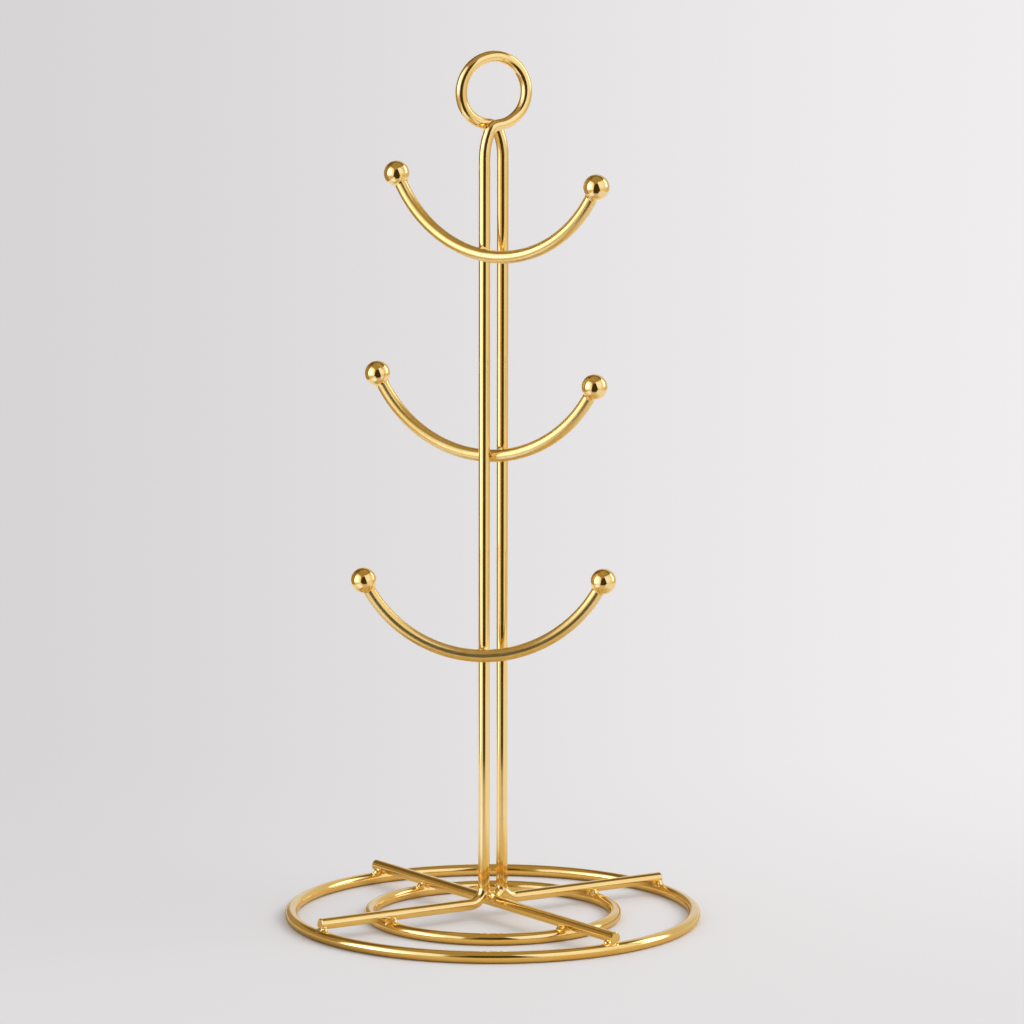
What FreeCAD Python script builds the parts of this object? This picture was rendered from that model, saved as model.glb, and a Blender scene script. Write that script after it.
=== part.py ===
import FreeCAD, Part
import math
import os
import Sketcher

# Jewellery stand of bent and welded round wire, gold plated.
#
# One long wire makes the front leg, the front upright, the loop at the top, the rear
# upright and the rear leg.  A straight rod crosses between the uprights at the foot.
# Legs and rod lie on two wire rings that rest on the table.  Three curved arms with
# ball ends are welded to the uprights.
#
# Frame of the whole stand: Z up, the origin on the table at the centre of the base
# rings, X to the right and Y away from someone who faces the stand.
# Azimuths are degrees from +X towards +Y.  Radii of bends and rings run to the middle
# of the wire.  Lengths are millimetres.

V = FreeCAD.Vector
doc = FreeCAD.newDocument("jewellery_stand")


# ---------------------------------------------------------------- driving sizes

SIZES = [
    ("wire_dia", 4.3, "wire of the frame and the cross rod"),
    ("ring_wire_dia", 4.5, "wire of the two base rings"),
    ("arm_rod_dia", 4.8, "rod of the three arms"),
    ("end_chamfer", 0.35, "edge break on the cut ends of legs and cross rod"),
    ("weld_gap", 0.1, "gap that a weld closes where one wire lies on another"),
    ("outer_ring_radius", 76.2, "outer base ring"),
    ("inner_ring_radius", 46.3, "inner base ring"),
    ("leg_azimuth", 31.8, "direction of the rear leg, the front leg runs the other way"),
    ("leg_overhang", 0.2, "leg end past the middle of the outer ring"),
    ("rod_azimuth", -54.6, "direction of the cross rod"),
    ("rod_overhang", 2.3, "rod end past the middle of the outer ring"),
    ("foot_bend_radius", 6.0, "bend from leg to upright"),
    ("frame_azimuth", 25.0, "plane of the two uprights and the loop"),
    ("loop_radius", 12.6, "loop at the top"),
    ("loop_centre_height", 313.3, "middle of the loop above the table"),
    ("neck_bend_radius", 25.0, "easy bend at the top of an upright"),
    ("neck_lean", 22.0, "lean of the wire where the tight bend into the loop starts"),
    ("crossing_bend_radius", 4.5, "tight bend into the loop, where the wire crosses itself"),
    ("rod_slip", 0.3, "room on each side of the cross rod between the uprights"),
    ("arm_slip", 0.5, "room on each side of the middle arm between the uprights"),
    ("arm_bend_radius", 49.2, "bend of an arm"),
    ("arm_bend_half_angle", 61.0, "bend of an arm, from its lowest point to one tip"),
    ("arm_tip_length", 2.6, "straight tip that the ball is pushed on"),
    ("top_arm_drop", 60.5, "lowest point of the top arm below the middle of the loop"),
    ("top_arm_azimuth", -34.4, "direction of the top arm"),
    ("top_arm_shift", 7.6, "lowest point of the top arm from the stem, along the arm"),
    ("middle_arm_drop", 76.3, "lowest point of the middle arm below that of the top arm"),
    ("middle_arm_azimuth", -25.0, "direction of the middle arm"),
    ("middle_arm_shift", -3.4, "lowest point of the middle arm from the stem"),
    ("bottom_arm_drop", 74.3, "lowest point of the bottom arm below that of the middle arm"),
    ("bottom_arm_azimuth", -1.2, "direction of the bottom arm"),
    ("bottom_arm_shift", -3.4, "lowest point of the bottom arm from the stem"),
    ("ball_dia", 9.6, "ball end of an arm"),
    ("ball_bore_clearance", 0.05, "between rod and bore, all round"),
    ("ball_end_clearance", 0.1, "between the rod's end and the floor of the bore"),
    ("ball_centre_past_tip", 1.0, "centre of the ball beyond the rod's end"),
    ("ring_weld_radius", 1.9, "weld bead between a leg and a ring"),
    ("ring_weld_inset", 1.2, "middle of that bead from the crossing, towards the stem"),
    ("arm_weld_radius", 2.3, "weld bead between an arm and an upright"),
    ("loop_weld_radius", 2.2, "weld bead where the wire crosses itself under the loop"),
    ("foot_weld_width", 7.6, "weld between the uprights, on top of the cross rod"),
    ("foot_weld_depth", 5.4, "the same weld along the cross rod"),
    ("foot_weld_rise", 2.9, "middle of that weld above the middle of the rod"),
    ("foot_weld_thickness", 4.4, "the same weld, upwards"),
    ("solder_thickness", 1.3, "solder ring at the neck of a ball"),
]

# Places worked out from the driving sizes, as formulas of a second sheet.
# In the plane of the uprights the front wire lies one half gap to the left and one
# shift to the front, and the rear wire the same to the right and to the back.
LAYOUT = [
    ("leg_level", "Sizes.ring_wire_dia + Sizes.weld_gap + Sizes.wire_dia / 2"),
    ("frame_shift", "(Sizes.wire_dia + Sizes.weld_gap) / 2"),
    ("arm_turn", "Sizes.frame_azimuth - Sizes.middle_arm_azimuth"),
    ("rod_turn", "Sizes.frame_azimuth - Sizes.rod_azimuth"),
    ("half_gap_for_arm",
     "((Sizes.wire_dia + Sizes.arm_rod_dia) / 2 + Sizes.arm_slip"
     " - frame_shift * cos(arm_turn)) / sin(arm_turn)"),
    ("half_gap_for_rod",
     "(Sizes.wire_dia + Sizes.rod_slip - frame_shift * cos(rod_turn)) / sin(rod_turn)"),
    ("half_gap", "max(half_gap_for_arm; half_gap_for_rod)"),
    ("front_x", "frame_shift * sin(Sizes.frame_azimuth) - half_gap * cos(Sizes.frame_azimuth)"),
    ("front_y", "-half_gap * sin(Sizes.frame_azimuth) - frame_shift * cos(Sizes.frame_azimuth)"),
    ("leg_start", "-front_x * cos(Sizes.leg_azimuth) - front_y * sin(Sizes.leg_azimuth)"),
    ("leg_aside", "front_x * sin(Sizes.leg_azimuth) - front_y * cos(Sizes.leg_azimuth)"),
    ("leg_to_outer", "sqrt(Sizes.outer_ring_radius ^ 2 - leg_aside ^ 2) - leg_start"),
    ("leg_to_inner", "sqrt(Sizes.inner_ring_radius ^ 2 - leg_aside ^ 2) - leg_start"),
    ("leg_length", "leg_to_outer + Sizes.leg_overhang"),
    ("neck_centre_across", "Sizes.neck_bend_radius - half_gap"),
    ("bend_centre_apart", "Sizes.neck_bend_radius - Sizes.crossing_bend_radius"),
    ("bend_centre_across", "neck_centre_across - bend_centre_apart * cos(Sizes.neck_lean)"),
    ("bend_to_loop", "Sizes.crossing_bend_radius + Sizes.loop_radius"),
    ("bend_centre_height",
     "Sizes.loop_centre_height - sqrt(bend_to_loop ^ 2 - bend_centre_across ^ 2)"),
    ("neck_height", "bend_centre_height - bend_centre_apart * sin(Sizes.neck_lean)"),
    ("loop_lean", "asin(bend_centre_across / bend_to_loop)"),
    ("crossing_height",
     "bend_centre_height + sqrt(Sizes.crossing_bend_radius ^ 2 - bend_centre_across ^ 2)"),
    ("top_arm_height", "Sizes.loop_centre_height - Sizes.top_arm_drop"),
    ("middle_arm_height", "top_arm_height - Sizes.middle_arm_drop"),
    ("bottom_arm_height", "middle_arm_height - Sizes.bottom_arm_drop"),
    ("arm_seat", "(Sizes.wire_dia + Sizes.arm_rod_dia) / 2 + Sizes.weld_gap"),
    ("bore_radius", "Sizes.arm_rod_dia / 2 + Sizes.ball_bore_clearance"),
    ("ball_tilt", "90 - Sizes.arm_bend_half_angle"),
    ("tip_to_ball", "Sizes.arm_tip_length + Sizes.ball_centre_past_tip"),
    ("ball_x",
     "Sizes.arm_bend_radius * sin(Sizes.arm_bend_half_angle)"
     " + tip_to_ball * cos(Sizes.arm_bend_half_angle)"),
    ("ball_z",
     "Sizes.arm_bend_radius * (1 - cos(Sizes.arm_bend_half_angle))"
     " + tip_to_ball * sin(Sizes.arm_bend_half_angle)"),
    ("neck_drop", "sqrt((Sizes.ball_dia / 2) ^ 2 - (Sizes.arm_rod_dia / 2) ^ 2)"),
]


def fill_sheet(name, rows, as_formula):
    """A sheet with one named value per row."""
    sheet = doc.addObject("Spreadsheet::Sheet", name)
    for row, entry in enumerate(rows, start=1):
        alias, value = entry[0], entry[1]
        sheet.set(f"A{row}", alias)
        sheet.set(f"B{row}", f"={value}" if as_formula else str(value))
        sheet.setAlias(f"B{row}", alias)
        if not as_formula:
            sheet.set(f"C{row}", entry[2])
    doc.recompute()
    return sheet


sizes = fill_sheet("Sizes", SIZES, as_formula=False)
layout = fill_sheet("Layout", LAYOUT, as_formula=True)


# ---------------------------------------------------------------- helpers

def bind(item, **expressions):
    """Bind properties of an object to expressions."""
    for prop, expression in expressions.items():
        item.setExpression(prop, expression)


def placement(x, y, z, yaw="0", pitch="0", roll="0"):
    """Expression for a placement: rolled, pitched and yawed, then moved."""
    vector = f"create(<<vector>>; {x}; {y}; {z})"
    rotation = f"create(<<rotation>>; {yaw}; {pitch}; {roll})"
    return f"create(<<placement>>; {vector}; {rotation})"


def new_body(label):
    body = doc.addObject("PartDesign::Body", "Body_" + label)
    body.Label = label
    return body


def origin_plane(body, role):
    return [item for item in body.Origin.OriginFeatures if item.Role == role][0]


def new_sketch(body, name, plane):
    """An empty sketch on one of the body's own origin planes."""
    sketch = body.newObject("Sketcher::SketchObject", name)
    sketch.AttachmentSupport = (origin_plane(body, plane), [""])
    sketch.MapMode = "FlatFace"
    return sketch


def constrain(sketch, kind, *where, size=None):
    """Add a constraint, and bind its value to an expression when it has one."""
    if size is None:
        sketch.addConstraint(Sketcher.Constraint(kind, *where))
        return
    index = sketch.addConstraint(Sketcher.Constraint(kind, *where, 1.0))
    sketch.setExpression(f"Constraints[{index}]", size)


def rod_section(body, name, diameter):
    """The round section of a rod, centred on the body's origin, across its X axis."""
    sketch = new_sketch(body, name, "YZ_Plane")
    sketch.addGeometry(Part.Circle(V(0, 0, 0), V(0, 0, 1), 2.0), False)
    constrain(sketch, "Coincident", 0, 3, -1, 1)
    constrain(sketch, "Diameter", 0, size=diameter)
    return sketch


# Node name -> object.  The order is the order of assembly.
nodes = {}


def add_node(label, item):
    item.Label = label
    nodes[label] = item
    return item


# ---------------------------------------------------------------- base rings

# Two hoops of the same wire, rolled round and butt welded, flat on the table.

def base_ring(label, radius):
    ring = doc.addObject("Part::Torus", "Ring_" + label)
    bind(ring, Radius1=radius, Radius2="Sizes.ring_wire_dia / 2",
         Placement=placement("0", "0", "Sizes.ring_wire_dia / 2"))
    return add_node(label, ring)


outer_ring = base_ring("outer_base_ring", "Sizes.outer_ring_radius")
inner_ring = base_ring("inner_base_ring", "Sizes.inner_ring_radius")


# ---------------------------------------------------------------- cross rod

# A straight rod, cut square at both ends with the edges broken.

cross_rod = add_node("cross_rod", new_body("cross_rod"))
rod_profile = rod_section(cross_rod, "RodSection", "Sizes.wire_dia")
rod_pad = cross_rod.newObject("PartDesign::Pad", "RodPad")
rod_pad.Profile = rod_profile
rod_pad.SideType = "Symmetric"
bind(rod_pad, Length="2 * (Sizes.outer_ring_radius + Sizes.rod_overhang)")
bind(cross_rod, Placement=placement("0", "0", "Layout.leg_level", yaw="Sizes.rod_azimuth"))
doc.recompute()
rod_ends = [f"Edge{number}" for number, edge in enumerate(rod_pad.Shape.Edges, start=1)
            if edge.Closed]
rod_chamfer = cross_rod.newObject("PartDesign::Chamfer", "RodChamfer")
rod_chamfer.Base = (rod_pad, rod_ends)
bind(rod_chamfer, Size="Sizes.end_chamfer")


# ---------------------------------------------------------------- frame wire

# The path of the one long wire is made of straight lines and round arcs that follow
# each other smoothly.  The front half runs from the end of the front leg to the top
# of the loop.  The rear half is the front half turned half a turn about the stem.

def frame_point(across, height, shift):
    """A point of the uprights' plane: across it, up, and shifted to the back."""
    turn = math.radians(sizes.frame_azimuth)
    x = across * math.cos(turn) - shift * math.sin(turn)
    y = across * math.sin(turn) + shift * math.cos(turn)
    return V(x, y, height)


def tangent_arc(start, along, end):
    """The round arc that leaves start in the direction along and reaches end."""
    chord = end - start
    ahead = chord.dot(along)
    inward = chord - along * ahead
    aside = inward.Length
    inward.normalize()
    radius = chord.dot(chord) / (2 * aside)
    half_sweep = math.atan2(aside, ahead)
    middle = (start + along * (radius * math.sin(half_sweep))
              + inward * (radius * (1 - math.cos(half_sweep))))
    return Part.Arc(start, middle, end).toShape()


def front_half():
    """Leg, foot bend, upright, neck bend, crossing bend, and half the loop."""
    turn = math.radians(sizes.leg_azimuth)
    outward = V(-math.cos(turn), -math.sin(turn), 0)
    up = V(0, 0, 1)
    foot = V(layout.front_x, layout.front_y, layout.leg_level)
    leg_end = foot + outward * layout.leg_length
    foot_bend_start = foot + outward * sizes.foot_bend_radius
    foot_bend_end = foot + up * sizes.foot_bend_radius

    # The neck bends over gently to its full lean.
    lean = math.radians(sizes.neck_lean)
    neck_start = frame_point(-layout.half_gap, layout.neck_height, -layout.frame_shift)
    neck_end = frame_point(
        -layout.half_gap + sizes.neck_bend_radius * (1 - math.cos(lean)),
        layout.neck_height + sizes.neck_bend_radius * math.sin(lean),
        -layout.frame_shift)
    along_neck = frame_point(math.sin(lean), math.cos(lean), 0)

    # A tight bend then turns it until it touches the loop's circle from outside.
    touch = math.radians(layout.loop_lean)
    loop_start = frame_point(
        sizes.loop_radius * math.sin(touch),
        sizes.loop_centre_height - sizes.loop_radius * math.cos(touch),
        -layout.frame_shift)
    along_loop = frame_point(math.cos(touch), math.sin(touch), 0)

    # Half the loop leaves the front plane and is level at the top, in the middle plane.
    rise = (sizes.loop_radius * math.cos(touch)
            + math.hypot(sizes.loop_radius, layout.frame_shift))
    loop_top = V(0, 0, loop_start.z + rise)
    return [
        Part.makeLine(leg_end, foot_bend_start),
        tangent_arc(foot_bend_start, -outward, foot_bend_end),
        Part.makeLine(foot_bend_end, neck_start),
        tangent_arc(neck_start, up, neck_end),
        tangent_arc(neck_end, along_neck, loop_start),
        tangent_arc(loop_start, along_loop, loop_top),
    ]


def turned_back(edge):
    """An edge of the front half, turned about the stem for the rear half."""
    copy = edge.copy()
    copy.rotate(V(0, 0, 0), V(0, 0, 1), 180)
    return copy


front_edges = front_half()
rear_edges = [turned_back(edge) for edge in reversed(front_edges)]
frame_path = doc.addObject("Part::Feature", "FramePath")
frame_path.Shape = Part.Wire(front_edges + rear_edges)

frame_section = doc.addObject("Part::Circle", "FrameSection")
leg_end_x = "Layout.front_x - Layout.leg_length * cos(Sizes.leg_azimuth)"
leg_end_y = "Layout.front_y - Layout.leg_length * sin(Sizes.leg_azimuth)"
bind(frame_section, Radius="Sizes.wire_dia / 2",
     Placement=placement(leg_end_x, leg_end_y, "Layout.leg_level",
                         yaw="Sizes.leg_azimuth", pitch="90"))

frame_sweep = doc.addObject("Part::Sweep", "FrameSweep")
frame_sweep.Sections = [frame_section]
frame_sweep.Spine = (frame_path, [])
frame_sweep.Solid = True
frame_sweep.Frenet = False
doc.recompute()

# The cut ends of the two legs get the same edge break as the cross rod.
end_faces = [face for face in frame_sweep.Shape.Faces
             if isinstance(face.Surface, Part.Plane)]
end_edges = [edge for face in end_faces for edge in face.Edges]
frame_wire = doc.addObject("Part::Chamfer", "FrameWire")
frame_wire.Base = frame_sweep
frame_wire.Edges = [
    (number, sizes.end_chamfer, sizes.end_chamfer)
    for number, edge in enumerate(frame_sweep.Shape.Edges, start=1)
    if any(edge.isSame(end_edge) for end_edge in end_edges)
]
add_node("frame_wire", frame_wire)


# ---------------------------------------------------------------- arms

# Each arm is a rod bent to an arc that opens upwards, with short straight tips.  The
# body's origin is the lowest point of the rod's centreline and X runs along the arm.
# The top and bottom arms lie against the front of the front upright, and the middle
# arm passes between the two uprights.

ARMS = ["top", "middle", "bottom"]


def arm_offset(name):
    """Expression for how far behind the stem's axis the arm's plane lies."""
    if name == "middle":
        return "0"
    turn = f"Sizes.{name}_arm_azimuth"
    upright = f"(Layout.front_y * cos({turn}) - Layout.front_x * sin({turn}))"
    return f"({upright} - Layout.arm_seat)"


def arm_body(name):
    body = new_body(f"{name}_arm")
    section = rod_section(body, f"{name}Section", "Sizes.arm_rod_dia")

    # Half the arm, in the XZ plane: the arc from the lowest point, then the tip.
    path = new_sketch(body, f"{name}Path", "XZ_Plane")
    start, bend, radius = math.radians(-90), math.radians(-30), 50.0
    bend_end = V(radius * math.cos(bend), radius + radius * math.sin(bend), 0)
    circle = Part.Circle(V(0, radius, 0), V(0, 0, 1), radius)
    path.addGeometry(Part.ArcOfCircle(circle, start, bend), False)
    path.addGeometry(Part.LineSegment(bend_end, bend_end + V(2, 4, 0)), False)
    constrain(path, "Coincident", 0, 1, -1, 1)
    constrain(path, "PointOnObject", 0, 3, -2)
    constrain(path, "Tangent", 0, 2, 1, 1)
    constrain(path, "Radius", 0, size="Sizes.arm_bend_radius")
    constrain(path, "DistanceY", -1, 1, 0, 2,
              size="Sizes.arm_bend_radius * (1 - cos(Sizes.arm_bend_half_angle))")
    constrain(path, "Distance", 1, size="Sizes.arm_tip_length")

    half = body.newObject("PartDesign::AdditivePipe", f"{name}Half")
    half.Profile = section
    half.Spine = (path, [])
    whole = body.newObject("PartDesign::Mirrored", f"{name}Whole")
    whole.Originals = [half]
    whole.MirrorPlane = (origin_plane(body, "YZ_Plane"), [""])
    body.Tip = whole

    turn = f"Sizes.{name}_arm_azimuth"
    shift = f"Sizes.{name}_arm_shift"
    offset = arm_offset(name)
    bind(body, Placement=placement(
        f"{shift} * cos({turn}) - {offset} * sin({turn})",
        f"{shift} * sin({turn}) + {offset} * cos({turn})",
        f"Layout.{name}_arm_height", yaw=turn))
    return body


arms = {name: add_node(f"{name}_arm", arm_body(name)) for name in ARMS}


# ---------------------------------------------------------------- ball ends

# A turned ball with a blind bore from below, pushed on the tip of the rod.  The body's
# origin is the ball's centre and the bore opens towards -Z.

def ball_body(label):
    body = new_body(label)
    outline = new_sketch(body, label + "_outline", "XZ_Plane")
    circle = Part.Circle(V(0, 0, 0), V(0, 0, 1), 5.0)
    outline.addGeometry(Part.ArcOfCircle(circle, -math.pi / 2, math.pi / 2), False)
    outline.addGeometry(Part.LineSegment(V(0, 5, 0), V(0, -5, 0)), False)
    constrain(outline, "Coincident", 0, 3, -1, 1)
    constrain(outline, "Coincident", 0, 2, 1, 1)
    constrain(outline, "Coincident", 0, 1, 1, 2)
    constrain(outline, "PointOnObject", 1, 1, -2)
    constrain(outline, "PointOnObject", 1, 2, -2)
    constrain(outline, "Diameter", 0, size="Sizes.ball_dia")
    turned = body.newObject("PartDesign::Revolution", label + "_turned")
    turned.Profile = outline
    turned.ReferenceAxis = (outline, ["V_Axis"])
    turned.Angle = 360

    bore = new_sketch(body, label + "_bore", "XY_Plane")
    bore.addGeometry(Part.Circle(V(0, 0, 0), V(0, 0, 1), 2.0), False)
    constrain(bore, "Coincident", 0, 3, -1, 1)
    constrain(bore, "Radius", 0, size="Layout.bore_radius")
    bind(bore, **{"AttachmentOffset.Base.z":
                  "Sizes.ball_end_clearance - Sizes.ball_centre_past_tip"})
    drilled = body.newObject("PartDesign::Pocket", label + "_drilled")
    drilled.Profile = bore
    drilled.Type = "ThroughAll"
    return body


def on_arm(name, side, distance):
    """Placement on the ball's axis, at a distance from its centre, beyond it.

    The side is +1 at the right tip of the arm and -1 at the left one.
    """
    reach = f"(Layout.ball_x + ({distance}) * sin(Layout.ball_tilt))"
    rise = f"(Layout.ball_z + ({distance}) * cos(Layout.ball_tilt))"
    local = placement(f"{side} * {reach}", "0", rise, pitch=f"{side} * Layout.ball_tilt")
    return f"{arms[name].Name}.Placement * {local}"


SIDES = [("left", -1), ("right", 1)]

balls = []
for arm_name in ARMS:
    for side_name, side in SIDES:
        ball = ball_body(f"{arm_name}_{side_name}_ball")
        bind(ball, Placement=on_arm(arm_name, side, "0"))
        balls.append(add_node(ball.Label, ball))

doc.recompute()


# ---------------------------------------------------------------- welds and solder

# Weld beads fill the corners where two wires cross.  Each starts as a round drop at
# the middle of the joint, and the wires are then cut out of it, so a bead touches
# both wires and runs into neither.

def drop(name, radius, x, y, z):
    bead = doc.addObject("Part::Sphere", name)
    bind(bead, Radius=radius, Placement=placement(x, y, z))
    return bead


def cut_clear(label, lumps, neighbours):
    """One node with all the lumps, each neighbour cut out of them in turn."""
    rest = doc.addObject("Part::Compound", "Lumps_" + label)
    rest.Links = lumps
    for neighbour in neighbours:
        cut = doc.addObject("Part::Cut", f"Cut_{label}_{neighbour.Label}")
        cut.Base = rest
        cut.Tool = neighbour
        rest = cut
    return add_node(label, rest)


# Eight beads where the two legs and the cross rod lie on the two rings.
ring_drops = []
for ring_name in ["outer", "inner"]:
    leg_out = f"(Layout.leg_to_{ring_name} - Sizes.ring_weld_inset)"
    rod_out = f"(Sizes.{ring_name}_ring_radius - Sizes.ring_weld_inset)"
    for end in [-1, 1]:
        leg_x = f"{end} * ({leg_out} * cos(Sizes.leg_azimuth) - Layout.front_x)"
        leg_y = f"{end} * ({leg_out} * sin(Sizes.leg_azimuth) - Layout.front_y)"
        rod_x = f"{end} * {rod_out} * cos(Sizes.rod_azimuth)"
        rod_y = f"{end} * {rod_out} * sin(Sizes.rod_azimuth)"
        for wire_name, x, y in [("Leg", leg_x, leg_y), ("Rod", rod_x, rod_y)]:
            side_name = "Front" if end < 0 else "Rear"
            ring_drops.append(drop(f"{wire_name}{side_name}{ring_name}",
                                   "Sizes.ring_weld_radius", x, y,
                                   "Sizes.ring_wire_dia + Sizes.weld_gap / 2"))
cut_clear("ring_welds", ring_drops, [outer_ring, inner_ring, frame_wire, cross_rod])

# One weld on top of the cross rod, between the two uprights.
foot_drop = doc.addObject("Part::Ellipsoid", "FootDrop")
foot_drop.Angle1 = -90
foot_drop.Angle2 = 90
bind(foot_drop, Radius1="Sizes.foot_weld_thickness / 2",
     Radius2="Sizes.foot_weld_depth / 2", Radius3="Sizes.foot_weld_width / 2",
     Placement=placement("0", "0", "Layout.leg_level + Sizes.foot_weld_rise",
                         yaw="Sizes.rod_azimuth"))
cut_clear("foot_weld", [foot_drop], [frame_wire, cross_rod])

# The beads of the arms: one each at the top and bottom arms, two at the middle arm.
arm_drops = []
for arm_name in ARMS:
    turn = f"Sizes.{arm_name}_arm_azimuth"
    along = f"(Layout.front_x * cos({turn}) + Layout.front_y * sin({turn}))"
    for end in ([1, -1] if arm_name == "middle" else [1]):
        out = f"({end} * {along} - Sizes.{arm_name}_arm_shift)"
        rise = (f"Layout.{arm_name}_arm_height + Sizes.arm_bend_radius"
                f" - sqrt(Sizes.arm_bend_radius ^ 2 - {out} ^ 2)")
        gap = "Sizes.arm_slip" if arm_name == "middle" else "Sizes.weld_gap"
        inward = 1 if arm_name == "middle" else -1
        step = f"{end * inward} * (Sizes.wire_dia + {gap}) / 2"
        side_name = "Front" if end > 0 else "Rear"
        arm_drops.append(drop(f"{arm_name}{side_name}Drop", "Sizes.arm_weld_radius",
                              f"{end} * Layout.front_x - {step} * sin({turn})",
                              f"{end} * Layout.front_y + {step} * cos({turn})", rise))
cut_clear("arm_welds", arm_drops, [frame_wire] + list(arms.values()))

# One bead where the wire crosses itself under the loop.
loop_drop = drop("LoopDrop", "Sizes.loop_weld_radius", "0", "0", "Layout.crossing_height")
cut_clear("loop_weld", [loop_drop], [frame_wire])

# Six rings of solder at the necks of the balls, between the rod and the round of the
# ball.
solder_rings = []
ball_rounds = []
for arm_name in ARMS:
    for side_name, side in SIDES:
        ring = doc.addObject("Part::Torus", f"{arm_name}{side_name}Solder")
        bind(ring, Radius1="Sizes.arm_rod_dia / 2", Radius2="Sizes.solder_thickness / 2",
             Placement=on_arm(arm_name, side, "-Layout.neck_drop"))
        solder_rings.append(ring)
        ball_round = doc.addObject("Part::Sphere", f"{arm_name}{side_name}Round")
        bind(ball_round, Radius="Sizes.ball_dia / 2", Placement=on_arm(arm_name, side, "0"))
        ball_rounds.append(ball_round)
cut_clear("ball_solder", solder_rings, list(arms.values()) + ball_rounds)


# ---------------------------------------------------------------- check and export

doc.recompute()
for item in doc.Objects:
    if "Invalid" in item.State or "Error" in item.State:
        raise RuntimeError(f"{item.Label} did not recompute: {item.State}")

os.makedirs("parts", exist_ok=True)
for label, item in nodes.items():
    shape = item.Shape
    if shape.isNull() or not shape.isValid():
        raise RuntimeError(f"{label} has no valid shape")
    shape.exportStep(f"parts/{label}.step")
    print(f"{label}: {len(shape.Solids)} solid(s), volume {shape.Volume:.1f}")
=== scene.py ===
import bpy
import itertools
import math
import numpy as np
from mathutils import Matrix, Vector


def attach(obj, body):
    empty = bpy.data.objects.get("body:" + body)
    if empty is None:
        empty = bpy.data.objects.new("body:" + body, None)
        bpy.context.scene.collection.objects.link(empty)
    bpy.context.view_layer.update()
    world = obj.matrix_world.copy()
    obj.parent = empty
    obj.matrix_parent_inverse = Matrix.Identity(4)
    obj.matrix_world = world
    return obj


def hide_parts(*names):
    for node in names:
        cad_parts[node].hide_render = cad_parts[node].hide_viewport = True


# A free-standing jewellery stand of polished, gold-plated wire.  The pieces follow in
# the order in which the stand is put together: base rings, cross rod, frame wire, arms,
# ball ends, and last the welds and the solder that hold them.  Sizes of the pieces are
# millimetres and angles are degrees.  Places in the camera, the studio and the
# materials are metres, as everything is in Blender.

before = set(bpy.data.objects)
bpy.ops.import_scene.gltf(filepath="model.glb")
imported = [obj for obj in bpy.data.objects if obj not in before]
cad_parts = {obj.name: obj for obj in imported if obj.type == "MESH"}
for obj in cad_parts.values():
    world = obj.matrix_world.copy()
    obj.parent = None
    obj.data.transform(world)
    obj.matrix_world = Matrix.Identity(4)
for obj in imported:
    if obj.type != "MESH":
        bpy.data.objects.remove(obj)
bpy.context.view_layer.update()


# ---------------------------------------------------------------- camera

# A long lens a little above the stand, looking slightly down on it.
IMAGE_SIDE = 1024
FOCAL_PIXELS = 6218.0
SENSOR_MM = 36.0
FAR_CLIP = 50.0
CAMERA_PLACE = (0.0070, -2.300, 0.5135)
CAMERA_PITCH = math.radians(8.85)
CAMERA_ROLL = math.radians(0.10)

lens = bpy.data.cameras.new("camera")
lens.sensor_width = SENSOR_MM
lens.lens = FOCAL_PIXELS * SENSOR_MM / IMAGE_SIDE
lens.clip_end = FAR_CLIP
camera = bpy.data.objects.new("camera", lens)
bpy.context.collection.objects.link(camera)
camera.matrix_world = (Matrix.Translation(CAMERA_PLACE)
                       @ Matrix.Rotation(math.pi / 2 - CAMERA_PITCH, 4, "X")
                       @ Matrix.Rotation(CAMERA_ROLL, 4, "Z"))
bpy.context.scene.camera = camera
bpy.context.scene.view_settings.view_transform = "Standard"


# ---------------------------------------------------------------- studio

# A room of soft light: a dim warm ceiling, a tall white window on the left, a paler one
# on the right with a narrow lamp behind it, and the dark camera stand in front.  Each
# has a bearing, which is 0 towards the camera and positive to the right, and a height
# above the horizon.
IN_DEGREES = 180 / math.pi


class Value:
    """A number, colour, vector or shader in a node tree.  Operators add Math nodes."""

    def __init__(self, nodes, socket):
        self.nodes = nodes
        self.socket = socket

    def _math(self, operation, *numbers):
        return self.nodes.add("ShaderNodeMath", {"operation": operation},
                              dict(enumerate(numbers)))

    def __add__(self, other):
        return self._math("ADD", self, other)

    def __radd__(self, other):
        return self._math("ADD", other, self)

    def __sub__(self, other):
        return self._math("SUBTRACT", self, other)

    def __rsub__(self, other):
        return self._math("SUBTRACT", other, self)

    def __mul__(self, other):
        return self._math("MULTIPLY", self, other)

    def __rmul__(self, other):
        return self._math("MULTIPLY", other, self)

    def __truediv__(self, other):
        return self._math("DIVIDE", self, other)

    def __rtruediv__(self, other):
        return self._math("DIVIDE", other, self)

    def __pow__(self, other):
        return self._math("POWER", self, other)

    def size(self):
        """The number without its sign."""
        return self._math("ABSOLUTE", self)

    def larger(self, other):
        return self._math("MAXIMUM", self, other)

    def arcsine(self):
        return self._math("ARCSINE", self)

    def angle_over(self, other):
        """The angle, in radians, whose sine goes with this and cosine with the other."""
        return self._math("ARCTAN2", self, other)

    def rise(self, start, end):
        """0 below start, 1 above end, and smooth between."""
        return self.nodes.add("ShaderNodeMapRange", {"interpolation_type": "SMOOTHSTEP"},
                              {"Value": self, "From Min": start, "From Max": end})

    def fall(self, start, end):
        """1 below start, 0 above end, and smooth between."""
        return 1 - self.rise(start, end)

    def band(self, start, end, soft):
        """1 between start and end, with soft edges."""
        return self.rise(start - soft, start + soft) * self.fall(end - soft, end + soft)


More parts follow.
